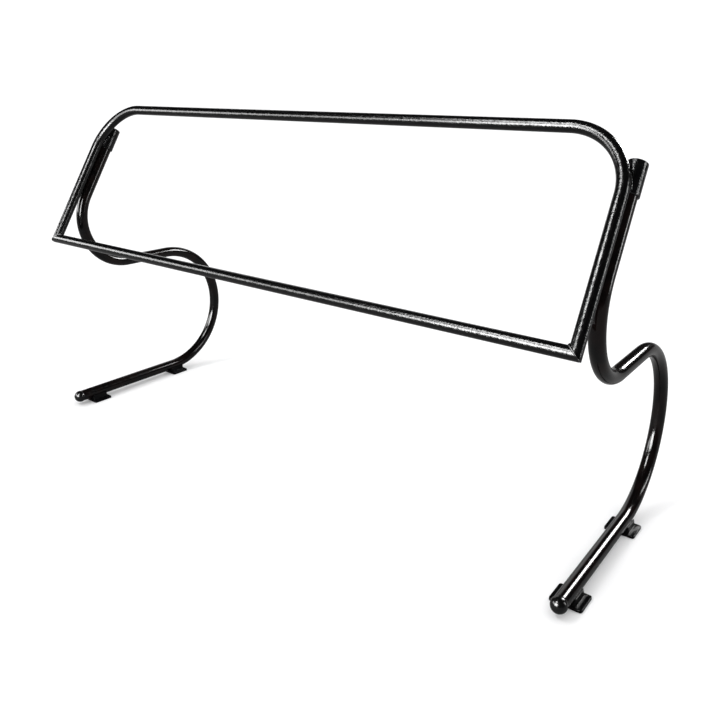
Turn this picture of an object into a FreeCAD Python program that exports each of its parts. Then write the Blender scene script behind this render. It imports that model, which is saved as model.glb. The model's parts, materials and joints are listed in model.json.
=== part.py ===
import FreeCAD, Part
import Sketcher
import math
import os

# Album stand: a leaning open frame of round tube, held up by two S-shaped
# tube legs that stand in sockets behind the frame's side tubes.
# +X runs along the frame, +Y to the back, +Z up; the floor is z = 0 and the
# origin lies on the floor under the middle of the stand.

doc = FreeCAD.newDocument("album_stand")
sheet = doc.addObject("Spreadsheet::Sheet", "Dims")

DIMENSIONS = (
    # name, value in mm or degrees, meaning
    ("span", 780.0, "side tube to side tube of the frame, centre to centre"),
    ("slant", 209.0, "bottom rail to top bar, centre to centre, along the slope"),
    ("lean", 31.0, "degrees that the frame leans back from upright"),
    ("corner", 64.0, "centreline radius of the two top corners"),
    ("frame_tube", 12.7, "outer diameter of the frame tube"),
    ("frame_wall", 1.6, "wall of the frame tube"),
    ("leg_tube", 15.9, "outer diameter of the leg tube"),
    ("leg_wall", 1.5, "wall of the leg tube"),
    ("leg_behind", 15.9, "leg axis behind the plane of the frame"),
    ("leg_outset", 1.5, "leg axis outside the centre of the side tube"),
    ("upper_bend_start", 76.0, "rail to the end of the leg's sloping run, along the slope"),
    ("upper_bend", 72.0, "centreline radius of the leg's upper bend"),
    ("level_run", 72.0, "straight level run behind the upper bend"),
    ("back_bend", 99.0, "centreline radius of the half-circle at the back"),
    ("foot_run", 173.0, "straight foot, from the half-circle to the tube's front end"),
    ("foot_gap", 4.0, "floor to the underside of the foot tube"),
    ("socket_low", 151.0, "rail to the socket's open end, along the slope"),
    ("socket_length", 33.0, "length of the socket"),
    ("socket_tube", 19.0, "outer diameter of the socket"),
    ("socket_bore", 16.04, "bore of the socket, a running fit on the leg"),
    ("socket_chamfer", 0.8, "chamfer of the socket's open end"),
    ("cap_thick", 2.0, "thickness of the disc that closes the socket"),
    ("cap_chamfer", 0.4, "chamfer of the disc's upper edge"),
    ("plug_head", 2.0, "thickness of the plug's head on top of the leg"),
    ("plug_stem", 12.0, "length of a plug inside its tube"),
    ("end_play", 0.1, "gap between the plug's head and the socket's disc"),
    ("slip", 0.1, "gap round a plug in its tube, and under the top plug's head"),
    ("ball", 17.0, "diameter of the ball on the foot's front end"),
    ("glide_width", 33.5, "width of a floor glide, across the foot"),
    ("glide_length", 28.0, "length of a floor glide, along the foot"),
    ("glide_flange", 2.8, "thickness of a glide's flanges"),
    ("glide_corner", 2.5, "corner radius of a glide"),
    ("cradle_foot", 19.6, "width of the glide's cradle where it meets the flanges"),
    ("cradle_top", 18.0, "width of the glide's cradle at its top"),
    ("cradle_height", 9.5, "floor to the top of the cradle"),
    ("cradle_slip", 0.05, "radial slip between the cradle and the tube"),
    ("peg", 5.0, "diameter of the glide's locating peg"),
    ("peg_height", 9.0, "floor to the tip of the peg"),
    ("front_glide", 26.0, "tube's front end to the middle of the front glide"),
    ("rear_glide", 176.0, "tube's front end to the middle of the rear glide"),
    ("bead", 3.6, "diameter of the weld beads beside a socket"),
    ("bead_length", 15.0, "length of the outer bead"),
    ("inner_bead_length", 6.0, "length of the inner bead, where the tubes still touch"),
    ("bead_side", 3.6, "bead to the side of the side tube's centre"),
    ("bead_behind", 6.2, "bead behind the plane of the frame"),
    ("seam_width", 1.8, "width of the weld seam round a mitre"),
    ("seam_height", 0.4, "height of the weld seam above the tubes"),
)
for row, (alias, number, meaning) in enumerate(DIMENSIONS, start=1):
    sheet.set(f"A{row}", alias)
    sheet.set(f"B{row}", str(number))
    sheet.set(f"C{row}", meaning)
    sheet.setAlias(f"B{row}", alias)
doc.recompute()

# Expressions shared by several pieces.
SIN = "sin(Dims.lean * 1deg)"
COS = "cos(Dims.lean * 1deg)"
LEG_X = "(Dims.span / 2 + Dims.leg_outset)"
FOOT_Z = "(Dims.foot_gap + Dims.leg_tube / 2)"
# The upper bend's centre and the level run, measured from the bottom rail.
BEND_Y = f"(Dims.upper_bend_start * {SIN} + (Dims.leg_behind + Dims.upper_bend) * {COS})"
BEND_Z = f"(Dims.upper_bend_start * {COS} - (Dims.leg_behind + Dims.upper_bend) * {SIN})"
RAIL_Z = f"({FOOT_Z} + 2 * Dims.back_bend + Dims.upper_bend - {BEND_Z})"
REAR_Y = f"({BEND_Y} + Dims.level_run + Dims.back_bend + Dims.leg_tube / 2)"
RAIL_Y = f"((Dims.frame_tube / 2 - {REAR_Y}) / 2)"
# The front end of the foot tube.
FOOT_Y = f"({RAIL_Y} + {BEND_Y} + Dims.level_run - Dims.foot_run)"
# The top end of the leg tube, along the slope from the rail.
CAP_LOW = "(Dims.socket_low + Dims.socket_length - Dims.cap_thick)"
LEG_TOP = f"({CAP_LOW} - Dims.end_play - Dims.plug_head)"


def value(expression):
    """The number an expression of the sheet's cells stands for."""
    result = sheet.evalExpression(expression)
    return float(getattr(result, "Value", result))


def bind(target, prop, expression):
    target.setExpression(prop, expression)


def on_slope(distance, behind):
    """Y and Z expressions of a point on the slope above the rail and behind its plane."""
    across = f"({RAIL_Y} + {distance} * {SIN} + {behind} * {COS})"
    height = f"({RAIL_Z} + {distance} * {COS} - {behind} * {SIN})"
    return across, height


def place(target, x, y, z, turn=None):
    """Bind a placement; turn is an expression in degrees about the X axis."""
    if turn is not None:
        target.Placement = FreeCAD.Placement(
            FreeCAD.Vector(), FreeCAD.Rotation(FreeCAD.Vector(1, 0, 0), value(turn)))
        bind(target, "Placement.Rotation.Angle", turn)
    for letter, expression in (("x", x), ("y", y), ("z", z)):
        bind(target, f"Placement.Base.{letter}", expression)


def new_body(label):
    body = doc.addObject("PartDesign::Body", label)
    body.Label = label
    return body


def sketch_on(body, role, name, offset=None):
    """A sketch on one of the body's own origin planes."""
    sketch = body.newObject("Sketcher::SketchObject", name)
    plane = next(item for item in body.Origin.OriginFeatures if item.Role == role)
    sketch.AttachmentSupport = (plane, [""])
    sketch.MapMode = "FlatFace"
    if offset is not None:
        bind(sketch, "AttachmentOffset.Base.z", offset)
    return sketch


def dimension(sketch, kind, references, expression):
    """A driving constraint whose value follows an expression."""
    amount = value(expression)
    index = sketch.addConstraint(Sketcher.Constraint(kind, *references, amount))
    bind(sketch, f"Constraints[{index}]", expression)


def pin(sketch, geometry, point, x, y):
    """Fix a point at x, y from the sketch's origin."""
    for kind, expression, axis in (("DistanceX", x, -2), ("DistanceY", y, -1)):
        if expression == "0":
            sketch.addConstraint(Sketcher.Constraint("PointOnObject", geometry, point, axis))
        else:
            dimension(sketch, kind, (-1, 1, geometry, point), expression)


def circle(sketch, x, y, diameter):
    centre = FreeCAD.Vector(value(x), value(y), 0)
    up = FreeCAD.Vector(0, 0, 1)
    index = sketch.addGeometry(Part.Circle(centre, up, value(diameter) / 2), False)
    pin(sketch, index, 3, x, y)
    dimension(sketch, "Diameter", (index,), diameter)


def polygon(sketch, corners):
    """A closed outline of straight edges through corners of x, y expressions."""
    spots = [FreeCAD.Vector(value(x), value(y), 0) for x, y in corners]
    first = sketch.GeometryCount
    count = len(corners)
    for i in range(count):
        sketch.addGeometry(Part.LineSegment(spots[i], spots[(i + 1) % count]), False)
    for i in range(count):
        following = first + (i + 1) % count
        sketch.addConstraint(Sketcher.Constraint("Coincident", first + i, 2, following, 1))
        pin(sketch, first + i, 1, *corners[i])


def pad(body, sketch, name, length, side="One side"):
    feature = body.newObject("PartDesign::Pad", name)
    feature.Profile = sketch
    feature.SideType = side
    bind(feature, "Length", length)
    return feature


def pocket(body, sketch, name, length, side="One side"):
    """Cut a sketch out of the body and make sure that something was cut."""
    doc.recompute()
    before = body.Shape.Volume
    feature = body.newObject("PartDesign::Pocket", name)
    feature.Profile = sketch
    feature.SideType = side
    bind(feature, "Length", length)
    doc.recompute()
    if body.Shape.Volume > before - 0.1:
        raise RuntimeError(f"{body.Label}: {name} cuts nothing")
    return feature


def pipe(body, profile, path, name):
    feature = body.newObject("PartDesign::AdditivePipe", name)
    feature.Profile = profile
    feature.Spine = path
    doc.recompute()
    return feature


def edges_where(shape, test):
    """Names of the edges whose middle point passes the test."""
    names = []
    for number, edge in enumerate(shape.Edges, start=1):
        middle = edge.valueAt((edge.FirstParameter + edge.LastParameter) / 2)
        if test(edge, middle):
            names.append(f"Edge{number}")
    if not names:
        raise RuntimeError("no edge to dress")
    return names


def dress(body, kind, name, prop, size, test):
    """A fillet or a chamfer on the tip's edges that pass the test."""
    doc.recompute()
    base = body.Tip
    names = edges_where(base.Shape, test)
    feature = body.newObject(kind, name)
    feature.Base = (base, names)
    bind(feature, prop, size)
    doc.recompute()
    return feature


def check_tube(body, section, length):
    """Compare a swept tube's volume with its section times its length."""
    expected = section * length
    if abs(body.Shape.Volume - expected) > 0.005 * expected:
        raise RuntimeError(f"{body.Label}: volume {body.Shape.Volume} is not {expected}")


def ring_area(outer, inner):
    return math.pi * (outer ** 2 - inner ** 2) / 4


FRAME_BORE = "(Dims.frame_tube - 2 * Dims.frame_wall)"
LEG_BORE = "(Dims.leg_tube - 2 * Dims.leg_wall)"
SLOPE_TURN = "90 - Dims.lean"
pieces = []

# ---------------------------------------------------------------- frame
# Both frame tubes are drawn flat, x along the frame and y up the slope, and
# are then leaned back together.

# Top hoop: left side tube, top bar and right side tube, bent from one length.
hoop = new_body("top_hoop")
route = sketch_on(hoop, "XY_Plane", "hoop_route")
half = value("Dims.span / 2")
low = -value("Dims.frame_tube / 2")
high = value("Dims.slant")
bend = value("Dims.corner")
up = FreeCAD.Vector(0, 0, 1)
route.addGeometry([
    Part.LineSegment(FreeCAD.Vector(-half, low, 0), FreeCAD.Vector(-half, high - bend, 0)),
    Part.ArcOfCircle(Part.Circle(FreeCAD.Vector(bend - half, high - bend, 0), up, bend),
                     math.pi / 2, math.pi),
    Part.LineSegment(FreeCAD.Vector(bend - half, high, 0), FreeCAD.Vector(half - bend, high, 0)),
    Part.ArcOfCircle(Part.Circle(FreeCAD.Vector(half - bend, high - bend, 0), up, bend),
                     0, math.pi / 2),
    Part.LineSegment(FreeCAD.Vector(half, high - bend, 0), FreeCAD.Vector(half, low, 0)),
], False)
pin(route, 0, 1, "-Dims.span / 2", "-Dims.frame_tube / 2")
for joint in ((0, 2, 1, 2), (1, 1, 2, 1), (2, 2, 3, 2), (3, 1, 4, 1)):
    route.addConstraint(Sketcher.Constraint("Tangent", *joint))
for arc in (1, 3):
    dimension(route, "Radius", (arc,), "Dims.corner")
route.addConstraint(Sketcher.Constraint("Vertical", 0))
route.addConstraint(Sketcher.Constraint("Horizontal", 2))
route.addConstraint(Sketcher.Constraint("Vertical", 4))
dimension(route, "DistanceY", (0, 1, 0, 2), "Dims.slant - Dims.corner + Dims.frame_tube / 2")
dimension(route, "DistanceX", (2, 1, 2, 2), "Dims.span - 2 * Dims.corner")
dimension(route, "DistanceY", (4, 2, 4, 1), "Dims.slant - Dims.corner + Dims.frame_tube / 2")
section = sketch_on(hoop, "XZ_Plane", "hoop_section", "Dims.frame_tube / 2")
circle(section, "-Dims.span / 2", "0", "Dims.frame_tube")
circle(section, "-Dims.span / 2", "0", FRAME_BORE)
pipe(hoop, section, route, "hoop_tube")
check_tube(hoop, ring_area(value("Dims.frame_tube"), value(FRAME_BORE)),
           value("2 * (Dims.slant - Dims.corner + Dims.frame_tube / 2) + Dims.span"
                 " - 2 * Dims.corner") + math.pi * bend)
mitre = sketch_on(hoop, "XY_Plane", "hoop_mitres")
for sign, away, inner in (("-", "-", "+"), ("1 * ", "+", "-")):
    near_x = f"{sign}Dims.span / 2 {inner} 2 * Dims.frame_tube"
    far_x = f"{sign}Dims.span / 2 {away} 2 * Dims.frame_tube"
    polygon(mitre, ((far_x, "-2 * Dims.frame_tube"), (near_x, "-2 * Dims.frame_tube"),
                    (near_x, "2 * Dims.frame_tube")))
pocket(hoop, mitre, "hoop_mitre_cuts", "2 * Dims.frame_tube", "Symmetric")
place(hoop, "0", RAIL_Y, RAIL_Z, SLOPE_TURN)
pieces.append(hoop)

# Bottom rail: straight tube with a mitre at each end.
rail = new_body("bottom_rail")
section = sketch_on(rail, "YZ_Plane", "rail_section")
circle(section, "0", "0", "Dims.frame_tube")
circle(section, "0", "0", FRAME_BORE)
pad(rail, section, "rail_tube", "Dims.span + Dims.frame_tube", "Symmetric")
mitre = sketch_on(rail, "XY_Plane", "rail_mitres")
for sign, away, inner in (("-", "-", "+"), ("1 * ", "+", "-")):
    near_x = f"{sign}Dims.span / 2 {inner} 2 * Dims.frame_tube"
    far_x = f"{sign}Dims.span / 2 {away} 2 * Dims.frame_tube"
    polygon(mitre, ((far_x, "-2 * Dims.frame_tube"), (near_x, "2 * Dims.frame_tube"),
                    (far_x, "2 * Dims.frame_tube")))
pocket(rail, mitre, "rail_mitre_cuts", "2 * Dims.frame_tube", "Symmetric")
place(rail, "0", RAIL_Y, RAIL_Z, SLOPE_TURN)
pieces.append(rail)

# Weld seams: a low band beside each mitre, on the skin of the side tube.
SEAM_TUBE = "(Dims.frame_tube / 2 + Dims.seam_height)"
SLAB = "(4 * Dims.frame_tube)"
for side, sign, angle in (("left", "-", 45), ("right", "", -45)):
    centre_x = f"{sign}Dims.span / 2"
    skins = []
    for name, radius in (("over", SEAM_TUBE), ("under", "Dims.frame_tube / 2")):
        skin = doc.addObject("Part::Cylinder", f"{side}_seam_{name}")
        bind(skin, "Radius", radius)
        bind(skin, "Height", "4 * Dims.frame_tube")
        skin.Placement = FreeCAD.Placement(
            FreeCAD.Vector(), FreeCAD.Rotation(FreeCAD.Vector(1, 0, 0), -90))
        bind(skin, "Placement.Base.x", centre_x)
        bind(skin, "Placement.Base.y", "-2 * Dims.frame_tube")
        skins.append(skin)
    skin = doc.addObject("Part::Cut", f"{side}_seam_skin")
    skin.Base, skin.Tool = skins
    # The slab stands on the plane of the mitre.
    slab = doc.addObject("Part::Box", f"{side}_seam_slab")
    bind(slab, "Length", SLAB)
    bind(slab, "Width", "Dims.seam_width")
    bind(slab, "Height", SLAB)
    slab.Placement = FreeCAD.Placement(
        FreeCAD.Vector(), FreeCAD.Rotation(FreeCAD.Vector(0, 0, 1), angle))
    bind(slab, "Placement.Base.x", f"{centre_x} - {SLAB} / 2 * cos({angle}deg)")
    bind(slab, "Placement.Base.y", f"-{SLAB} / 2 * sin({angle}deg)")
    bind(slab, "Placement.Base.z", f"-{SLAB} / 2")
    seam = doc.addObject("Part::Common", f"{side}_mitre_weld")
    seam.Label = f"{side}_mitre_weld"
    seam.Base, seam.Tool = skin, slab
    place(seam, "0", RAIL_Y, RAIL_Z, SLOPE_TURN)
    pieces.append(seam)

# ------------------------------------------------- sockets behind the side tubes
for side, sign in (("left", "-"), ("right", "")):
    x = f"{sign}{LEG_X}"
    socket = new_body(f"{side}_leg_sleeve")
    section = sketch_on(socket, "XY_Plane", f"{side}_sleeve_section")
    circle(section, "0", "0", "Dims.socket_tube")
    circle(section, "0", "0", "Dims.socket_bore")
    pad(socket, section, f"{side}_sleeve_tube", "Dims.socket_length")
    outer_radius = value("Dims.socket_tube / 2")
    dress(socket, "PartDesign::Chamfer", f"{side}_sleeve_lip", "Size", "Dims.socket_chamfer",
          lambda edge, middle: middle.z < 0.01 and math.hypot(middle.x, middle.y)
          > outer_radius - 0.01)
    place(socket, x, *on_slope("Dims.socket_low", "Dims.leg_behind"), "-Dims.lean")
    pieces.append(socket)

    cap = new_body(f"{side}_sleeve_cap")
    section = sketch_on(cap, "XY_Plane", f"{side}_cap_section")
    circle(section, "0", "0", "Dims.socket_bore")
    pad(cap, section, f"{side}_cap_disc", "Dims.cap_thick")
    thick = value("Dims.cap_thick")
    dress(cap, "PartDesign::Chamfer", f"{side}_cap_edge", "Size", "Dims.cap_chamfer",
          lambda edge, middle: middle.z > thick - 0.01 and edge.Closed)
    place(cap, x, *on_slope(CAP_LOW, "Dims.leg_behind"), "-Dims.lean")
    pieces.append(cap)

    # Two weld beads lie in the valleys between the side tube and the socket.
    for where, reach, length in (("outer", "+", "Dims.bead_length"),
                                 ("inner", "-", "Dims.inner_bead_length")):
        rod = doc.addObject("Part::Cylinder", f"{side}_{where}_rod")
        bind(rod, "Radius", "Dims.bead / 2")
        bind(rod, "Height", length)
        bead_x = f"{sign}(Dims.span / 2 {reach} Dims.bead_side)"
        place(rod, bead_x, *on_slope("(Dims.socket_low + 1)", "Dims.bead_behind"), "-Dims.lean")
        trimmed = doc.addObject("Part::Cut", f"{side}_{where}_trimmed")
        trimmed.Base, trimmed.Tool = rod, hoop
        bead = doc.addObject("Part::Cut", f"{side}_sleeve_{where}_weld")
        bead.Label = f"{side}_sleeve_{where}_weld"
        bead.Base, bead.Tool = trimmed, socket
        pieces.append(bead)

# ---------------------------------------------------------------- legs
# A leg is drawn in its own upright plane, from the front end of its foot: y to
# the back and z up.  Foot, half-circle, level run, upper bend, sloping run.
LEG_SLOPE = f"({LEG_TOP} - Dims.upper_bend_start)"
run = value("Dims.foot_run")
big = value("Dims.back_bend")
small = value("Dims.upper_bend")
level = value("Dims.level_run")
lean = math.radians(value("Dims.lean"))
slope = value(LEG_SLOPE)
for side, sign in (("left", "-"), ("right", "")):
    x = f"{sign}{LEG_X}"
    leg = new_body(f"{side}_leg")
    route = sketch_on(leg, "YZ_Plane", f"{side}_leg_route")
    bend_y = run - level
    bend_z = 2 * big + small
    top_y = bend_y - small * math.cos(lean)
    top_z = bend_z + small * math.sin(lean)
    route.addGeometry([
        Part.LineSegment(FreeCAD.Vector(0, 0, 0), FreeCAD.Vector(run, 0, 0)),
        Part.ArcOfCircle(Part.Circle(FreeCAD.Vector(run, big, 0), up, big),
                         -math.pi / 2, math.pi / 2),
        Part.LineSegment(FreeCAD.Vector(run, 2 * big, 0), FreeCAD.Vector(bend_y, 2 * big, 0)),
        Part.ArcOfCircle(Part.Circle(FreeCAD.Vector(bend_y, bend_z, 0), up, small),
                         math.pi - lean, 3 * math.pi / 2),
        Part.LineSegment(FreeCAD.Vector(top_y, top_z, 0),
                         FreeCAD.Vector(top_y + slope * math.sin(lean),
                                        top_z + slope * math.cos(lean), 0)),
    ], False)
    route.addConstraint(Sketcher.Constraint("Coincident", 0, 1, -1, 1))
    route.addConstraint(Sketcher.Constraint("Horizontal", 0))
    route.addConstraint(Sketcher.Constraint("Horizontal", 2))
    for joint in ((0, 2, 1, 1), (1, 2, 2, 1), (2, 2, 3, 2), (3, 1, 4, 1)):
        route.addConstraint(Sketcher.Constraint("Tangent", *joint))
    dimension(route, "DistanceX", (0, 1, 0, 2), "Dims.foot_run")
    dimension(route, "Radius", (1,), "Dims.back_bend")
    dimension(route, "DistanceX", (2, 2, 2, 1), "Dims.level_run")
    dimension(route, "Radius", (3,), "Dims.upper_bend")
    dimension(route, "DistanceX", (4, 1, 4, 2), f"{LEG_SLOPE} * {SIN}")
    dimension(route, "DistanceY", (4, 1, 4, 2), f"{LEG_SLOPE} * {COS}")
    section = sketch_on(leg, "XZ_Plane", f"{side}_leg_section")
    circle(section, "0", "0", "Dims.leg_tube")
    circle(section, "0", "0", LEG_BORE)
    pipe(leg, section, route, f"{side}_leg_tube")
    check_tube(leg, ring_area(value("Dims.leg_tube"), value(LEG_BORE)),
               run + math.pi * big + level + (math.pi / 2 + lean) * small + slope)
    holes = sketch_on(leg, "XY_Plane", f"{side}_peg_holes")
    for spot in ("Dims.front_glide", "Dims.rear_glide"):
        circle(holes, "0", spot, "Dims.peg + 2 * Dims.cradle_slip")
    pocket(leg, holes, f"{side}_peg_cuts", "Dims.leg_tube")
    place(leg, x, FOOT_Y, FOOT_Z)
    pieces.append(leg)

    # Plug in the top of the leg: its head bears on the socket's disc.
    plug = new_body(f"{side}_leg_top_plug")
    section = sketch_on(plug, "XZ_Plane", f"{side}_plug_section")
    stem = f"({LEG_BORE} / 2 - Dims.slip)"
    head = "(Dims.leg_tube / 2)"
    polygon(section, (("0", "-Dims.plug_stem"), (stem, "-Dims.plug_stem"), (stem, "Dims.slip"),
                      (head, "Dims.slip"), (head, "Dims.plug_head"), ("0", "Dims.plug_head")))
    turned = plug.newObject("PartDesign::Revolution", f"{side}_plug_turned")
    turned.Profile = section
    turned.ReferenceAxis = (section, ["V_Axis"])
    turned.Angle = 360
    place(plug, x, *on_slope(LEG_TOP, "Dims.leg_behind"), "-Dims.lean")
    pieces.append(plug)

    # Ball plug in the front end of the foot.
    ball = new_body(f"{side}_foot_plug")
    section = sketch_on(ball, "YZ_Plane", f"{side}_ball_section")
    radius = value("Dims.ball / 2")
    tube = value("Dims.leg_tube / 2")
    seat = math.sqrt(radius ** 2 - tube ** 2)
    bore = value(stem)
    depth = value("Dims.plug_stem")
    section.addGeometry([
        Part.ArcOfCircle(Part.Circle(FreeCAD.Vector(-seat, 0, 0), up, radius),
                         math.atan2(tube, seat), math.pi),
        Part.LineSegment(FreeCAD.Vector(0, tube, 0), FreeCAD.Vector(0, bore, 0)),
        Part.LineSegment(FreeCAD.Vector(0, bore, 0), FreeCAD.Vector(depth, bore, 0)),
        Part.LineSegment(FreeCAD.Vector(depth, bore, 0), FreeCAD.Vector(depth, 0, 0)),
        Part.LineSegment(FreeCAD.Vector(depth, 0, 0), FreeCAD.Vector(-seat - radius, 0, 0)),
    ], False)
    for joint in ((0, 1, 1, 1), (1, 2, 2, 1), (2, 2, 3, 1), (3, 2, 4, 1), (4, 2, 0, 2)):
        section.addConstraint(Sketcher.Constraint("Coincident", *joint))
    section.addConstraint(Sketcher.Constraint("PointOnObject", 0, 3, -1))
    section.addConstraint(Sketcher.Constraint("PointOnObject", 0, 2, -1))
    dimension(section, "Radius", (0,), "Dims.ball / 2")
    pin(section, 1, 1, "0", "Dims.leg_tube / 2")
    pin(section, 2, 1, "0", stem)
    pin(section, 3, 1, "Dims.plug_stem", stem)
    pin(section, 4, 1, "Dims.plug_stem", "0")
    turned = ball.newObject("PartDesign::Revolution", f"{side}_ball_turned")
    turned.Profile = section
    turned.ReferenceAxis = (section, ["H_Axis"])
    turned.Angle = 360
    place(ball, x, FOOT_Y, FOOT_Z)
    pieces.append(ball)

    # Floor glides: a flanged plate with a cradle for the tube and a locating peg.
    for where, spot in (("front", "Dims.front_glide"), ("rear", "Dims.rear_glide")):
        glide = new_body(f"{side}_{where}_glide")
        name = f"{side}_{where}"
        half_width = "Dims.glide_width / 2"
        half_length = "Dims.glide_length / 2"
        plate = sketch_on(glide, "XY_Plane", f"{name}_plate_outline")
        polygon(plate, ((f"-{half_width}", f"-{half_length}"), (half_width, f"-{half_length}"),
                        (half_width, half_length), (f"-{half_width}", half_length)))
        pad(glide, plate, f"{name}_plate", "Dims.glide_flange")
        dress(glide, "PartDesign::Fillet", f"{name}_corners", "Radius", "Dims.glide_corner",
              lambda edge, middle: abs(edge.tangentAt(edge.FirstParameter).z) > 0.99)
        cradle = sketch_on(glide, "XZ_Plane", f"{name}_cradle_outline")
        polygon(cradle, (("-Dims.cradle_foot / 2", "Dims.glide_flange / 2"),
                         ("Dims.cradle_foot / 2", "Dims.glide_flange / 2"),
                         ("Dims.cradle_foot / 2", "Dims.glide_flange"),
                         ("Dims.cradle_top / 2", "Dims.cradle_height"),
                         ("-Dims.cradle_top / 2", "Dims.cradle_height"),
                         ("-Dims.cradle_foot / 2", "Dims.glide_flange")))
        pad(glide, cradle, f"{name}_cradle", "Dims.glide_length - 2 * Dims.glide_flange",
            "Symmetric")
        trough = sketch_on(glide, "XZ_Plane", f"{name}_trough_outline")
        circle(trough, "0", FOOT_Z, "Dims.leg_tube + 2 * Dims.cradle_slip")
        pocket(glide, trough, f"{name}_trough", "2 * Dims.glide_length", "Symmetric")
        peg = sketch_on(glide, "XY_Plane", f"{name}_peg_outline")
        circle(peg, "0", "0", "Dims.peg")
        pad(glide, peg, f"{name}_peg", "Dims.peg_height")
        place(glide, x, f"{FOOT_Y} + {spot}", "0")
        pieces.append(glide)

# ---------------------------------------------------------------- checks and files
doc.recompute()
for item in doc.Objects:
    if any(state in ("Invalid", "Error") for state in item.State):
        raise RuntimeError(f"{item.Label} is {item.State}")
os.makedirs("parts", exist_ok=True)
for piece in pieces:
    shape = piece.Shape
    if shape.isNull() or not shape.isValid():
        raise RuntimeError(f"{piece.Label} has no valid shape")
    if len(shape.Solids) != 1:
        raise RuntimeError(f"{piece.Label} has {len(shape.Solids)} solids")
    shape.exportStep(f"parts/{piece.Label}.step")
    box = shape.BoundBox
    print(f"{piece.Label:28s} {shape.Volume:10.1f} mm3  x {box.XMin:8.2f} {box.XMax:8.2f}"
          f"  y {box.YMin:8.2f} {box.YMax:8.2f}  z {box.ZMin:7.2f} {box.ZMax:7.2f}")
print("rail y, z", round(value(RAIL_Y), 3), round(value(RAIL_Z), 3))
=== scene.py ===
import json
import math

import bmesh
import bpy
from mathutils import Matrix, Vector


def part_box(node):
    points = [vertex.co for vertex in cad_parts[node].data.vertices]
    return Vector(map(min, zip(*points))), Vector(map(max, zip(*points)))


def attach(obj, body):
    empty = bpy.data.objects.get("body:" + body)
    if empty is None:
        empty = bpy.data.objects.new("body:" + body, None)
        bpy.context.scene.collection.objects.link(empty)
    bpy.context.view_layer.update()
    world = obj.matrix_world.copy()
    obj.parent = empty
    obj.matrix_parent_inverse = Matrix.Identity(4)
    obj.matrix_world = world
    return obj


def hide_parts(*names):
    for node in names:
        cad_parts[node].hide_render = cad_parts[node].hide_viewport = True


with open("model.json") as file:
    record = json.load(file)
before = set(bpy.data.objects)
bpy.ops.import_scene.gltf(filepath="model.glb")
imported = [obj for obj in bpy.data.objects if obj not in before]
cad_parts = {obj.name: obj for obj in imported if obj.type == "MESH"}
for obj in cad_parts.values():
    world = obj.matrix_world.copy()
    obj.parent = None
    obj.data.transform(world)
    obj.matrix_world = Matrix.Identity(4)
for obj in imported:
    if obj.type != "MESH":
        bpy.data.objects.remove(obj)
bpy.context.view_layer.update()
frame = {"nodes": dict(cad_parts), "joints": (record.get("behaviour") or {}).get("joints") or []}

# Album stand in gloss black powder coat. Lengths are metres.
# +X runs along the frame, +Y to the back, +Z up, and the floor is z = 0.

# ---------------------------------------------------------------- sizes
# Tubes: radii, and the bends and straight runs of the frame and the legs.
FRAME_RADIUS = 0.00635
LEG_RADIUS = 0.00795
CORNER = 0.064
UPPER_BEND = 0.072
LEVEL_RUN = 0.072
BACK_BEND = 0.099
FOOT_RUN = 0.173
TUBE_EDGE = 0.0004

# Mitres: how far a tube runs on before it is cut, what is ground off, and the seam.
OVERRUN = 2 * FRAME_RADIUS
GROUND_OFF = 0.001
GROUND_EDGE = 0.0006
SEAM_BEAD = 0.0019
SEAM_SINK = 0.00055

# Sockets: places are measured up the slope from the rail, and behind the frame.
LEG_BEHIND = 0.0159
LEG_BELOW_PIVOT = 0.002
SOCKET_LOW = 0.151
SOCKET_LENGTH = 0.033
SOCKET_RADIUS = 0.0095
SOCKET_BORE = 0.00802
SOCKET_CHAMFER = 0.0008
SOCKET_RIM = 0.0005
BORE_UPPER = 0.004
CAP_DEEP = 0.0005
CAP_THICK = 0.0015
CAP_EDGE = 0.0004
CAP_EDGE_WIDTH = 0.0006
BEAD = 0.0021
BEAD_LIFT = 0.0008
BEAD_CLEAR = 0.0001
OUTER_BEAD_TOP = 0.0205
INNER_BEAD_TOP = 0.017
VALLEY_SHIFT = 0.0009
VALLEY_REACH = 0.0038
VALLEY_DEPTH = 0.0066
VALLEY_DEEPENS = 0.0014
SCALLOP = 0.12

# Feet: the ball plugs and the floor glides.
BALL_RADIUS = 0.0085
BALL_GAP = 0.0004
BALL_NECK = 0.0012
GLIDE_FLANGE = 0.0028
GLIDE_CORNER = 0.0025
GLIDE_RIM = 0.0006
CRADLE_TOP = 0.0095
CRADLE_FOOT = 0.0196
CRADLE_TOP_WIDTH = 0.018
CRADLE_FILLET = 0.0008
CRADLE_EDGE = 0.0004
TROUGH_GAP = 0.00005

# Meshes: the fineness of rings and bends, and how near counts as touching.
RING_STEPS = 64
BEND_STEP = math.radians(2.5)
SHARP = math.radians(32)
TOUCH = 1e-6
CUT_TOUCH = 1e-7

joints = {joint["name"]: joint for joint in frame["joints"]}
UP_SLOPE = Vector(joints["right_leg_swivel"]["axis"]).normalized()
LEAN = math.atan2(UP_SLOPE.y, UP_SLOPE.z)
BEHIND = Vector((0, math.cos(LEAN), -math.sin(LEAN)))
rail_low, rail_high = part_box("bottom_rail")
RAIL = (rail_low + rail_high) / 2
HALF_SPAN = rail_high.x - FRAME_RADIUS
HOOP_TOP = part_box("top_hoop")[1].z - FRAME_RADIUS
SLANT = (HOOP_TOP - RAIL.z) / math.cos(LEAN)
SLOPE = Matrix.Translation(RAIL) @ Matrix.Rotation(math.pi / 2 - LEAN, 4, "X")


# ---------------------------------------------------------------- mesh helpers
def only(items, kind):
    """The items of one kind: vertices, edges or faces."""
    return [item for item in items if isinstance(item, kind)]


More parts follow.
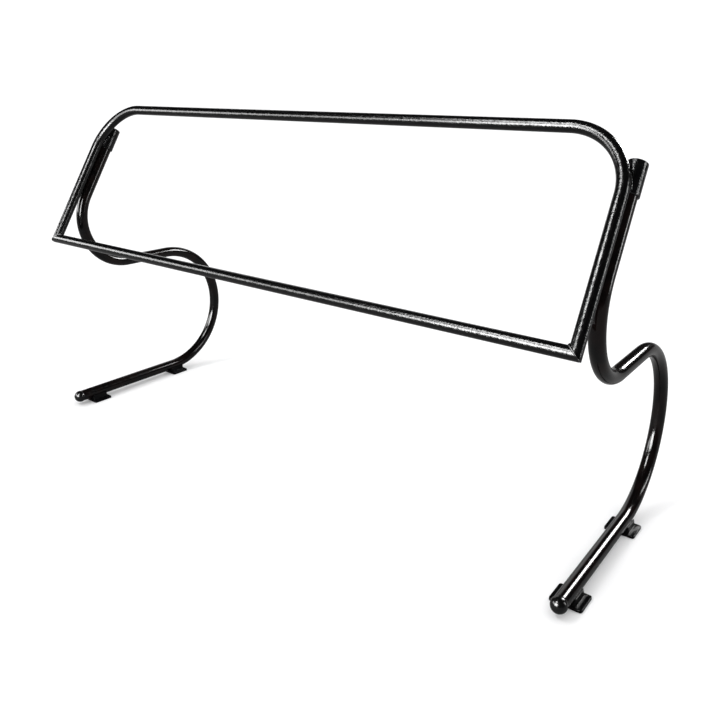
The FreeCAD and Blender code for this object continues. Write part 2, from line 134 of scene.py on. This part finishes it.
def ring(bm, radius, centre, axis, steps=RING_STEPS):
    """The edges of a circle about an axis."""
    turn = Vector((0, 0, 1)).rotation_difference(Vector(axis)).to_matrix().to_4x4()
    made = bmesh.ops.create_circle(
        bm, cap_ends=False, segments=steps, radius=radius,
        matrix=Matrix.Translation(centre) @ turn)
    return list({edge for vert in made["verts"] for edge in vert.link_edges})


def run(bm, edges, step, scale=1.0):
    """Carry a loop straight on by a step; scale widens or narrows the new loop."""
    made = bmesh.ops.extrude_edge_only(bm, edges=edges)["geom"]
    verts = only(made, bmesh.types.BMVert)
    bmesh.ops.translate(bm, verts=verts, vec=step)
    if scale != 1.0:
        middle = sum((vert.co for vert in verts), Vector()) / len(verts)
        bmesh.ops.scale(bm, verts=verts, vec=(scale, scale, scale),
                        space=Matrix.Translation(-middle))
    fresh = set(verts)
    return [edge for edge in only(made, bmesh.types.BMEdge)
            if edge.verts[0] in fresh and edge.verts[1] in fresh]


def bend(bm, edges, centre, axis, angle):
    """Carry a loop round an arc, as a tube bender does."""
    steps = max(2, round(abs(angle) / BEND_STEP))
    loop = list({vert for edge in edges for vert in edge.verts}) + list(edges)
    made = bmesh.ops.spin(bm, geom=loop, cent=centre, axis=axis, angle=angle, steps=steps,
                          use_merge=False, use_duplicate=False)
    return only(made["geom_last"], bmesh.types.BMEdge)


def close(bm, edges):
    """Fill a loop with a flat face."""
    bmesh.ops.holes_fill(bm, edges=edges, sides=0)


def trim(bm, point, outward, verts=None):
    """Cut away what lies beyond a plane, among some of the vertices, and close the cut."""
    chosen = set(bm.verts if verts is None else verts)
    edges = [edge for edge in bm.edges if chosen.issuperset(edge.verts)]
    faces = [face for face in bm.faces if chosen.issuperset(face.verts)]
    cut = bmesh.ops.bisect_plane(
        bm, geom=list(chosen) + edges + faces, dist=CUT_TOUCH,
        plane_co=point, plane_no=outward, clear_outer=True)
    close(bm, only(cut["geom_cut"], bmesh.types.BMEdge))


def soften(bm, edges, width, segments):
    """Round some edges over a width."""
    bmesh.ops.bevel(bm, geom=edges, offset=width, affect="EDGES", segments=segments,
                    profile=0.5, material=-1)


def sharp_edges(bm):
    """The edges where the surface turns by more than the sharp angle."""
    return [edge for edge in bm.edges
            if len(edge.link_faces) == 2 and edge.calc_face_angle() > SHARP]


def finish_piece(name, bm, body, material, stands_for):
    """Store a mesh as a smooth-shaded piece that rides on a body, in place of CAD nodes."""
    bmesh.ops.remove_doubles(bm, verts=bm.verts, dist=TOUCH)
    bmesh.ops.recalc_face_normals(bm, faces=bm.faces)
    for face in bm.faces:
        face.smooth = True
    for edge in sharp_edges(bm):
        edge.smooth = False
    mesh = bpy.data.meshes.new(name)
    bm.to_mesh(mesh)
    bm.free()
    piece = bpy.data.objects.new(name, mesh)
    bpy.context.scene.collection.objects.link(piece)
    mesh.materials.append(material)
    # Flat faces keep their own shading right up to a rounded edge.
    shading = piece.modifiers.new("even_shading", "WEIGHTED_NORMAL")
    shading.keep_sharp = True
    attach(piece, body)
    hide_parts(*stands_for)


# ---------------------------------------------------------------- finishes
BLACK = (0.0012, 0.0012, 0.0014)
SOFT_BLACK = (0.0026, 0.0025, 0.0027)
# Painted reflection: a faint brown that stands in for the brownish reflection seen on the legs.
BROWN_REFLECTION_TINT = (0.005, 0.0028, 0.0025)
PLASTIC_DARK = (0.002, 0.002, 0.0022)
PLASTIC_LIGHT = (0.004, 0.004, 0.0042)

# Fineness of the patterns, in noise cells per metre.
PEEL_WIDE = 650
PEEL_FINE = 1200
COAT_CLOUD = 60
GRAIN = 2600
PLASTIC_CLOUD = 90


def new_material(name):
    """A material with its nodes, its links and its main shader."""
    material = bpy.data.materials.new(name)
    material.use_nodes = True
    nodes = material.node_tree.nodes
    return material, nodes, material.node_tree.links, nodes["Principled BSDF"]


def noise(nodes, links, scale, detail, place):
    """A 0 to 1 noise pattern fixed to the object."""
    texture = nodes.new("ShaderNodeTexNoise")
    texture.inputs["Scale"].default_value = scale
    texture.inputs["Detail"].default_value = detail
    links.new(place.outputs["Object"], texture.inputs["Vector"])
    return texture.outputs["Fac"]


def spread(nodes, links, source, low, high):
    """Map a pattern's middle band to a range."""
    node = nodes.new("ShaderNodeMapRange")
    node.inputs["From Min"].default_value = 0.3
    node.inputs["From Max"].default_value = 0.7
    node.inputs["To Min"].default_value = low
    node.inputs["To Max"].default_value = high
    links.new(source, node.inputs["Value"])
    return node.outputs["Result"]


def tint(nodes, links, source, dark, light, target):
    """Drift between two colours over a pattern."""
    ramp = nodes.new("ShaderNodeValToRGB")
    ramp.color_ramp.elements[0].position = 0.35
    ramp.color_ramp.elements[1].position = 0.65
    ramp.color_ramp.elements[0].color = (*dark, 1)
    ramp.color_ramp.elements[1].color = (*light, 1)
    links.new(source, ramp.inputs["Fac"])
    links.new(ramp.outputs["Color"], target)


def bumps(nodes, links, layers, shader):
    """Stack bump layers of (height source, depth in metres)."""
    normal = None
    for source, depth in layers:
        bump = nodes.new("ShaderNodeBump")
        bump.inputs["Strength"].default_value = 1.0
        bump.inputs["Distance"].default_value = depth
        links.new(source, bump.inputs["Height"])
        if normal is not None:
            links.new(normal, bump.inputs["Normal"])
        normal = bump.outputs["Normal"]
    links.new(normal, shader.inputs["Normal"])


def powder_coat(name, peel, rough, index, dark, light):
    """Gloss black powder coat; peel is the depth of its orange peel in metres."""
    material, nodes, links, shader = new_material(name)
    place = nodes.new("ShaderNodeTexCoord")
    wide = noise(nodes, links, PEEL_WIDE, 1.0, place)
    fine = noise(nodes, links, PEEL_FINE, 1.5, place)
    cloud = noise(nodes, links, COAT_CLOUD, 3.0, place)
    tint(nodes, links, cloud, dark, light, shader.inputs["Base Color"])
    links.new(spread(nodes, links, wide, rough * 0.6, rough * 1.4),
              shader.inputs["Roughness"])
    shader.inputs["IOR"].default_value = index
    bumps(nodes, links, ((wide, peel), (fine, peel * 0.5)), shader)
    return material


def moulded_plastic(name, rough, index, grain):
    """Black moulded plastic; grain is the depth of its fine grain in metres."""
    material, nodes, links, shader = new_material(name)
    place = nodes.new("ShaderNodeTexCoord")
    cloud = noise(nodes, links, PLASTIC_CLOUD, 2.0, place)
    fine = noise(nodes, links, GRAIN, 2.0, place)
    tint(nodes, links, cloud, PLASTIC_DARK, PLASTIC_LIGHT, shader.inputs["Base Color"])
    links.new(spread(nodes, links, cloud, rough * 0.9, rough * 1.15),
              shader.inputs["Roughness"])
    shader.inputs["IOR"].default_value = index
    bumps(nodes, links, ((fine, grain),), shader)
    return material


COAT = powder_coat("gloss_black_powder_coat", peel=0.00018, rough=0.17, index=1.34,
                   dark=BLACK, light=SOFT_BLACK)
# The legs' coat drifts between black and a painted brown reflection tint.
LEG_COAT = powder_coat("smooth_black_powder_coat", peel=0.00004, rough=0.13, index=1.3,
                       dark=BLACK, light=BROWN_REFLECTION_TINT)
WELD = powder_coat("powder_coat_over_weld", peel=0.00006, rough=0.1, index=1.4,
                   dark=BLACK, light=SOFT_BLACK)
GLIDE = moulded_plastic("black_glide_nylon", rough=0.14, index=1.14, grain=0.000003)
BALL = moulded_plastic("gloss_black_ball_plastic", rough=0.2, index=1.35, grain=0.000006)
INNER = moulded_plastic("hidden_plug_plastic", rough=0.5, index=1.4, grain=0.00002)


# ---------------------------------------------------------------- frame
def ground_corner(side):
    """The point of each mitre is ground off a little."""
    reach = FRAME_RADIUS - GROUND_OFF
    return Vector((side * (HALF_SPAN + reach), -reach, 0))


def round_ground_edge(bm, side):
    """Round the rim of the ground face, except along the mitre itself."""
    point = ground_corner(side)
    outward = Vector((side, -1, 0)).normalized()
    across = Vector((side, 1, 0)).normalized()
    mitre = Vector((side * HALF_SPAN, 0, 0))
    rim = [edge for edge in bm.edges
           if all(abs((vert.co - point).dot(outward)) < TOUCH for vert in edge.verts)
           and not all(abs((vert.co - mitre).dot(across)) < TOUCH for vert in edge.verts)]
    soften(bm, rim, GROUND_EDGE, 3)


def top_hoop():
    """Left side, top bar and right side, bent from one tube and mitred at both ends."""
    bm = bmesh.new()
    straight = SLANT - CORNER
    loop = ring(bm, FRAME_RADIUS, (-HALF_SPAN, -OVERRUN, 0), (0, 1, 0))
    loop = run(bm, loop, (0, straight + OVERRUN, 0))
    loop = bend(bm, loop, (CORNER - HALF_SPAN, straight, 0), (0, 0, -1), math.pi / 2)
    loop = run(bm, loop, (2 * (HALF_SPAN - CORNER), 0, 0))
    loop = bend(bm, loop, (HALF_SPAN - CORNER, straight, 0), (0, 0, -1), math.pi / 2)
    run(bm, loop, (0, -straight - OVERRUN, 0))
    for side in (-1, 1):
        side_tube = [vert for vert in bm.verts if side * vert.co.x > HALF_SPAN - CORNER]
        trim(bm, (side * HALF_SPAN, 0, 0), (-side, -1, 0), side_tube)
        side_tube = [vert for vert in bm.verts if side * vert.co.x > HALF_SPAN - CORNER]
        trim(bm, ground_corner(side), (side, -1, 0), side_tube)
        round_ground_edge(bm, side)
    bmesh.ops.transform(bm, matrix=SLOPE, verts=bm.verts)
    finish_piece("hoop_tube", bm, "frame", COAT, ("top_hoop",))


def bottom_rail():
    """Straight tube with a mitre at each end."""
    bm = bmesh.new()
    reach = HALF_SPAN + OVERRUN
    loop = ring(bm, FRAME_RADIUS, (-reach, 0, 0), (1, 0, 0))
    run(bm, loop, (2 * reach, 0, 0))
    for side in (-1, 1):
        trim(bm, (side * HALF_SPAN, 0, 0), (side, 1, 0))
        trim(bm, ground_corner(side), (side, -1, 0))
        round_ground_edge(bm, side)
    bmesh.ops.transform(bm, matrix=SLOPE, verts=bm.verts)
    finish_piece("rail_tube", bm, "frame", COAT, ("bottom_rail",))


def ripple(step, pitch):
    """Width of a weld bead at a step along it, a row of overlapping scallops."""
    return 1.0 - SCALLOP * abs(math.sin(math.pi * step / pitch))


def mitre_weld(side, name):
    """A rippled seam that runs round the slanting oval where the two tubes meet."""
    bm = bmesh.new()
    steps = 168
    pitch = 4
    path = FRAME_RADIUS - SEAM_SINK
    loop = ring(bm, SEAM_BEAD, (path, 0, 0), (0, 1, 0), 10)
    verts = list({vert for edge in loop for vert in edge.verts})
    bmesh.ops.spin(bm, geom=verts + loop, cent=(0, 0, 0), axis=(0, 0, 1), angle=2 * math.pi,
                   steps=steps, use_merge=True, use_duplicate=False)
    for vert in bm.verts:
        angle = math.atan2(vert.co.y, vert.co.x)
        heart = Vector((math.cos(angle), math.sin(angle), 0)) * path
        step = steps * angle / (2 * math.pi)
        # The seam is fullest in the inner corner and fades towards the outer one.
        fullness = 0.66 - 0.34 * side * math.cos(angle)
        vert.co = heart + (vert.co - heart) * ripple(step, pitch) * fullness
    # Stretch the ring into the mitre's oval and stand it on the mitre's plane.
    bmesh.ops.scale(bm, verts=bm.verts, vec=(math.sqrt(2), 1, 1))
    stand = Matrix.Rotation(math.pi / 2, 4, "X")
    turn = Matrix.Rotation(-side * math.pi / 4, 4, "Z")
    seat = Matrix.Translation((side * HALF_SPAN, 0, 0))
    bmesh.ops.transform(bm, matrix=SLOPE @ seat @ turn @ stand, verts=bm.verts)
    edge_point = SLOPE @ ground_corner(side)
    trim(bm, edge_point, SLOPE.to_3x3() @ Vector((side, -1, 0)))
    finish_piece(f"{name}_mitre_seam", bm, "frame", WELD,
                 (f"{name}_mitre_weld",))


def socket(name):
    """Short tube behind the side tube, closed by a disc just below its upper rim."""
    pivot = Vector(joints[f"{name}_leg_swivel"]["pos_m"])
    foot = pivot + UP_SLOPE * (SOCKET_LOW - (pivot - RAIL).dot(UP_SLOPE))
    lower_bore = SOCKET_LENGTH - BORE_UPPER
    chamfered = SOCKET_RADIUS - SOCKET_CHAMFER
    rimmed = SOCKET_RADIUS - SOCKET_RIM
    bm = bmesh.new()
    # Down the bore, out and up the outside, then back down to where the bore began.
    loop = ring(bm, SOCKET_BORE, foot + UP_SLOPE * lower_bore, UP_SLOPE)
    loop = run(bm, loop, UP_SLOPE * -lower_bore)
    loop = run(bm, loop, (0, 0, 0), chamfered / SOCKET_BORE)
    loop = run(bm, loop, UP_SLOPE * SOCKET_CHAMFER, SOCKET_RADIUS / chamfered)
    loop = run(bm, loop, UP_SLOPE * (SOCKET_LENGTH - SOCKET_CHAMFER - SOCKET_RIM))
    loop = run(bm, loop, UP_SLOPE * SOCKET_RIM, rimmed / SOCKET_RADIUS)
    loop = run(bm, loop, (0, 0, 0), SOCKET_BORE / rimmed)
    run(bm, loop, UP_SLOPE * -BORE_UPPER)
    finish_piece(f"{name}_socket_tube", bm, "frame", COAT,
                 (f"{name}_leg_sleeve",))

    bm = bmesh.new()
    top = foot + UP_SLOPE * (SOCKET_LENGTH - CAP_DEEP)
    loop = ring(bm, SOCKET_BORE, top - UP_SLOPE * CAP_THICK, UP_SLOPE)
    close(bm, loop)
    loop = run(bm, loop, UP_SLOPE * (CAP_THICK - CAP_EDGE))
    loop = run(bm, loop, UP_SLOPE * CAP_EDGE, 1 - CAP_EDGE_WIDTH / SOCKET_BORE)
    close(bm, loop)
    finish_piece(f"{name}_socket_disc", bm, "frame", COAT,
                 (f"{name}_sleeve_cap",))


def socket_welds(side, name):
    """A rippled bead in the valley on each side of the socket."""
    socket_x = abs(joints[f"{name}_leg_swivel"]["pos_m"][0])
    arc_x, arc_height = HALF_SPAN - CORNER, SLANT - CORNER
    steps, pitch = 34, 4
    blunt, growth = 0.35, 4.5
    start = SOCKET_LOW + BEAD_LIFT
    for where, reach, rise in (("outer", 1, OUTER_BEAD_TOP), ("inner", -1, INNER_BEAD_TOP)):
        bm = bmesh.new()
        loop, last, last_width = None, None, None
        for step in range(steps + 1):
            share = step / steps
            height = start + (SOCKET_LOW + rise - start) * share
            taper = min(1.0, growth * share + blunt, growth * (1 - share) + blunt)
            width = BEAD * taper * ripple(step, pitch)
            # The side tube curves away inwards, and the bead follows the valley.
            tube_x = arc_x + math.sqrt(CORNER ** 2 - max(0.0, height - arc_height) ** 2)
            centre = Vector((tube_x + VALLEY_SHIFT + reach * VALLEY_REACH, height,
                             -VALLEY_DEPTH - VALLEY_DEEPENS * share))
            # It keeps out of the socket's bore, where the leg turns.
            axis = Vector((socket_x, height, -LEG_BEHIND))
            clear = max((centre - axis).length, SOCKET_BORE + width + BEAD_CLEAR)
            centre = axis + (centre - axis).normalized() * clear
            centre.x *= side
            if loop is None:
                loop = ring(bm, width, centre, (0, 1, 0), 14)
                close(bm, loop)
            else:
                loop = run(bm, loop, centre - last, width / last_width)
            last, last_width = centre, width
        close(bm, loop)
        bmesh.ops.transform(bm, matrix=SLOPE, verts=bm.verts)
        finish_piece(f"{name}_socket_{where}_bead", bm, "frame", WELD,
                     (f"{name}_sleeve_{where}_weld",))


# ---------------------------------------------------------------- legs
def leg(name):
    """Foot, half-circle, level run, upper bend and sloping run, bent from one tube."""
    low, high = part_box(f"{name}_leg")
    middle = (low.x + high.x) / 2
    front = Vector((middle, low.y, low.z + LEG_RADIUS))
    pivot = Vector(joints[f"{name}_leg_swivel"]["pos_m"])
    bm = bmesh.new()
    loop = ring(bm, LEG_RADIUS, front, (0, 1, 0))
    close(bm, loop)
    loop = run(bm, loop, (0, FOOT_RUN, 0))
    centre = front + Vector((0, FOOT_RUN, BACK_BEND))
    loop = bend(bm, loop, centre, (1, 0, 0), math.pi)
    loop = run(bm, loop, (0, -LEVEL_RUN, 0))
    centre = centre + Vector((0, -LEVEL_RUN, BACK_BEND + UPPER_BEND))
    loop = bend(bm, loop, centre, (-1, 0, 0), math.pi / 2 + LEAN)
    bend_end = centre - BEHIND * UPPER_BEND
    slope_run = (pivot - bend_end).dot(UP_SLOPE) - LEG_BELOW_PIVOT
    loop = run(bm, loop, UP_SLOPE * slope_run)
    close(bm, loop)
    soften(bm, sharp_edges(bm), TUBE_EDGE, 2)
    finish_piece(f"{name}_leg_tube", bm, f"{name}_leg", LEG_COAT,
                 (f"{name}_leg",))

    # Ball plug: most of a ball, with a narrow shadow gap where it meets the tube.
    bm = bmesh.new()
    seat = math.sqrt(BALL_RADIUS ** 2 - LEG_RADIUS ** 2)
    bmesh.ops.create_uvsphere(bm, u_segments=56, v_segments=36, radius=BALL_RADIUS,
                              matrix=Matrix.Rotation(math.pi / 2, 4, "X"))
    cut = bmesh.ops.bisect_plane(
        bm, geom=bm.verts[:] + bm.edges[:] + bm.faces[:], dist=CUT_TOUCH,
        plane_co=(0, seat - BALL_GAP, 0), plane_no=(0, 1, 0), clear_outer=True)
    loop = only(cut["geom_cut"], bmesh.types.BMEdge)
    loop = run(bm, loop, (0, BALL_GAP / 2, 0), 0.985)
    loop = run(bm, loop, (0, 0, 0), 0.93)
    loop = run(bm, loop, (0, BALL_NECK, 0))
    close(bm, loop)
    bmesh.ops.translate(bm, verts=bm.verts, vec=front - Vector((0, seat, 0)))
    finish_piece(f"{name}_foot_ball", bm, f"{name}_leg", BALL,
                 (f"{name}_foot_plug",))


def flat_edges(bm, height, reach=None):
    """Edges that lie level at a height, turned by more than a little, within a reach in x."""
    return [edge for edge in bm.edges
            if all(abs(vert.co.z - height) < TOUCH for vert in edge.verts)
            and (reach is None or all(abs(vert.co.x) < reach for vert in edge.verts))
            and edge.calc_face_angle(0) > 0.3]


def glide(name, where):
    """Floor glide: a flat plate that rises into a cradle with a trough for the tube."""
    low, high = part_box(f"{name}_{where}_glide")
    middle = (low + high) / 2
    width, length = high.x - low.x, high.y - low.y
    tube_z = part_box(f"{name}_leg")[0].z + LEG_RADIUS
    trough = LEG_RADIUS + TROUGH_GAP
    bm = bmesh.new()
    bmesh.ops.create_cube(bm, size=1)
    bmesh.ops.translate(bm, verts=bm.verts, vec=(0, 0, 0.5))
    bmesh.ops.scale(bm, verts=bm.verts, vec=(width, length, GLIDE_FLANGE))
    upright = [edge for edge in bm.edges
               if abs(edge.verts[0].co.z - edge.verts[1].co.z) > GLIDE_FLANGE / 2]
    soften(bm, upright, GLIDE_CORNER, 8)
    # Raise the cradle out of the plate: its foot first, then its narrowing sides.
    top = [face for face in bm.faces if face.normal.z > 0.9]
    for across, along, rise in (
            (CRADLE_FOOT / width, 1 - 2 * GLIDE_FLANGE / length, 0),
            (CRADLE_TOP_WIDTH / CRADLE_FOOT, 0.97, CRADLE_TOP - GLIDE_FLANGE)):
        made = bmesh.ops.extrude_face_region(bm, geom=top)["geom"]
        bmesh.ops.delete(bm, geom=top, context="FACES_ONLY")
        top = only(made, bmesh.types.BMFace)
        verts = only(made, bmesh.types.BMVert)
        bmesh.ops.scale(bm, verts=verts, vec=(across, along, 1))
        bmesh.ops.translate(bm, verts=verts, vec=(0, 0, rise))
    bm.normal_update()
    soften(bm, flat_edges(bm, GLIDE_FLANGE, CRADLE_FOOT / 2 + TOUCH), CRADLE_FILLET, 4)
    bm.normal_update()
    rim = [edge for edge in flat_edges(bm, GLIDE_FLANGE)
           if any(face.normal.z < 0.1 for face in edge.link_faces)]
    soften(bm, rim, GLIDE_RIM, 3)
    soften(bm, flat_edges(bm, CRADLE_TOP), CRADLE_EDGE, 2)
    # Press the trough into the cradle's top, a strip at a time.
    lip = math.acos((tube_z - CRADLE_TOP) / trough)
    strips = 14
    for step in range(strips + 1):
        angle = lip * (2 * step / strips - 1)
        bmesh.ops.bisect_plane(
            bm, geom=bm.verts[:] + bm.edges[:] + bm.faces[:], dist=CUT_TOUCH,
            plane_co=(trough * math.sin(angle), 0, 0), plane_no=(1, 0, 0))
    for vert in bm.verts:
        if vert.co.z > CRADLE_TOP - 1.5 * CRADLE_EDGE and abs(vert.co.x) < trough * math.sin(lip):
            drop = CRADLE_TOP - vert.co.z
            vert.co.z = tube_z - math.sqrt(trough ** 2 - vert.co.x ** 2) - drop
    bmesh.ops.translate(bm, verts=bm.verts, vec=(middle.x, middle.y, low.z))
    finish_piece(f"{name}_{where}_saddle_glide", bm, f"{name}_leg", GLIDE,
                 (f"{name}_{where}_glide",))


top_hoop()
bottom_rail()
for side, name in ((-1, "left"), (1, "right")):
    mitre_weld(side, name)
    socket(name)
    socket_welds(side, name)
    leg(name)
    for where in ("front", "rear"):
        glide(name, where)
    plug = frame["nodes"][f"{name}_leg_top_plug"]
    plug.data.materials.clear()
    plug.data.materials.append(INNER)


# ---------------------------------------------------------------- stage
# What a reflection sees is darker than what the eye sees: paper colour and surroundings.
PAPER = (0.92, 0.92, 0.925, 1)
PAPER_IN_GLOSS = (0.3, 0.3, 0.3, 1)
PAPER_BELOW = 0.0003
WHITE = (1, 1, 1, 1)
SURROUND = 1.16
SURROUND_IN_GLOSS = 0.02
SUN_STRENGTH = 0.5
SUN_WIDTH = math.radians(14)
SUN_FROM = (-0.5, -0.28, 0.8)
EYE = (0.5967, -0.7004, 0.4696)
AZIMUTH = math.radians(36.57)
ELEVATION = math.radians(15.46)
ROLL = math.radians(0.61)
LENS = 36.49


def pale_floor():
    """White paper, a hair below the glides."""
    bm = bmesh.new()
    bmesh.ops.create_grid(bm, x_segments=1, y_segments=1, size=60)
    bmesh.ops.translate(bm, verts=bm.verts, vec=(0, 0, -PAPER_BELOW))
    mesh = bpy.data.meshes.new("floor")
    bm.to_mesh(mesh)
    bm.free()
    floor = bpy.data.objects.new("floor", mesh)
    bpy.context.scene.collection.objects.link(floor)
    material, nodes, links, shader = new_material("white_paper_floor")
    shader.inputs["Roughness"].default_value = 0.9
    shader.inputs["Specular IOR Level"].default_value = 0.1
    # The gloss of the stand sees a darker floor than the eye does.
    path = nodes.new("ShaderNodeLightPath")
    pale = nodes.new("ShaderNodeMix")
    pale.data_type = "RGBA"
    pale.inputs["A"].default_value = PAPER
    pale.inputs["B"].default_value = PAPER_IN_GLOSS
    links.new(path.outputs["Is Glossy Ray"], pale.inputs["Factor"])
    links.new(pale.outputs["Result"], shader.inputs["Base Color"])
    # From below, the paper lets the underside of the stand be seen.
    side = nodes.new("ShaderNodeNewGeometry")
    clear = nodes.new("ShaderNodeBsdfTransparent")
    mix = nodes.new("ShaderNodeMixShader")
    links.new(side.outputs["Backfacing"], mix.inputs["Fac"])
    links.new(shader.outputs["BSDF"], mix.inputs[1])
    links.new(clear.outputs["BSDF"], mix.inputs[2])
    links.new(mix.outputs["Shader"], nodes["Material Output"].inputs["Surface"])
    mesh.materials.append(material)


def softbox(name, place, aim, width, height, radiance):
    """A rectangular studio light that faces a point and shows only in the gloss."""
    light = bpy.data.lights.new(name, "AREA")
    light.shape = "RECTANGLE"
    light.size = width
    light.size_y = height
    light.energy = radiance * math.pi * width * height
    lamp = bpy.data.objects.new(name, light)
    lamp.location = place
    lamp.rotation_euler = (Vector(place) - Vector(aim)).to_track_quat("Z", "Y").to_euler()
    lamp.visible_camera = False
    lamp.visible_diffuse = False
    bpy.context.scene.collection.objects.link(lamp)


def studio():
    """White surroundings for the eye and the floor, darker ones for reflections."""
    world = bpy.data.worlds.new("studio")
    bpy.context.scene.world = world
    world.use_nodes = True
    nodes, links = world.node_tree.nodes, world.node_tree.links
    white = nodes["Background"]
    white.inputs["Color"].default_value = WHITE
    white.inputs["Strength"].default_value = SURROUND
    dim = nodes.new("ShaderNodeBackground")
    dim.inputs["Color"].default_value = WHITE
    dim.inputs["Strength"].default_value = SURROUND_IN_GLOSS
    path = nodes.new("ShaderNodeLightPath")
    mix = nodes.new("ShaderNodeMixShader")
    links.new(path.outputs["Is Glossy Ray"], mix.inputs["Fac"])
    links.new(white.outputs["Background"], mix.inputs[1])
    links.new(dim.outputs["Background"], mix.inputs[2])
    links.new(mix.outputs["Shader"], nodes["World Output"].inputs["Surface"])

    # Each box is seen as a streak along the tubes: radiance is the streak's strength.
    softbox("low_front_strip", (-0.9, -1.35, 0.62), (0, -0.1, 0.35), 2.6, 0.5, 15)
    softbox("near_front_box", (-0.05, -1.4, 0.66), (0.3, -0.1, 0.3), 0.9, 0.7, 48)
    softbox("high_front_box", (-0.25, -1.1, 1.5), (0, -0.1, 0.35), 0.6, 0.5, 46)
    softbox("back_box", (0.86, 1.65, 1.24), (0.39, 0, 0.1), 0.55, 0.7, 56)
    softbox("left_card", (-1.6, 1.9, 0.9), (0.39, 0, 0.1), 1.8, 1.6, 1.2)
    softbox("right_strip", (1.65, 0.53, 0.6), (0.39, -0.05, 0.38), 0.2, 0.8, 18)

    sun = bpy.data.lights.new("soft_key", "SUN")
    sun.energy = SUN_STRENGTH
    sun.angle = SUN_WIDTH
    lamp = bpy.data.objects.new("soft_key", sun)
    lamp.rotation_euler = Vector(SUN_FROM).to_track_quat("Z", "Y").to_euler()
    lamp.visible_glossy = False
    bpy.context.scene.collection.objects.link(lamp)


def camera():
    """A 36 mm lens in front of the right end, a little higher than the top bar."""
    data = bpy.data.cameras.new("camera")
    data.sensor_width = 36
    data.lens = LENS
    data.shift_x = -0.0224
    data.shift_y = -0.0914
    data.clip_start = 0.01
    data.clip_end = 200
    eye = bpy.data.objects.new("camera", data)
    turn = (Matrix.Rotation(AZIMUTH, 4, "Z")
            @ Matrix.Rotation(math.pi / 2 - ELEVATION, 4, "X")
            @ Matrix.Rotation(ROLL, 4, "Z"))
    eye.matrix_world = Matrix.Translation(EYE) @ turn
    bpy.context.scene.collection.objects.link(eye)
    bpy.context.scene.camera = eye
    bpy.context.scene.view_settings.view_transform = "Standard"


pale_floor()
studio()
camera()
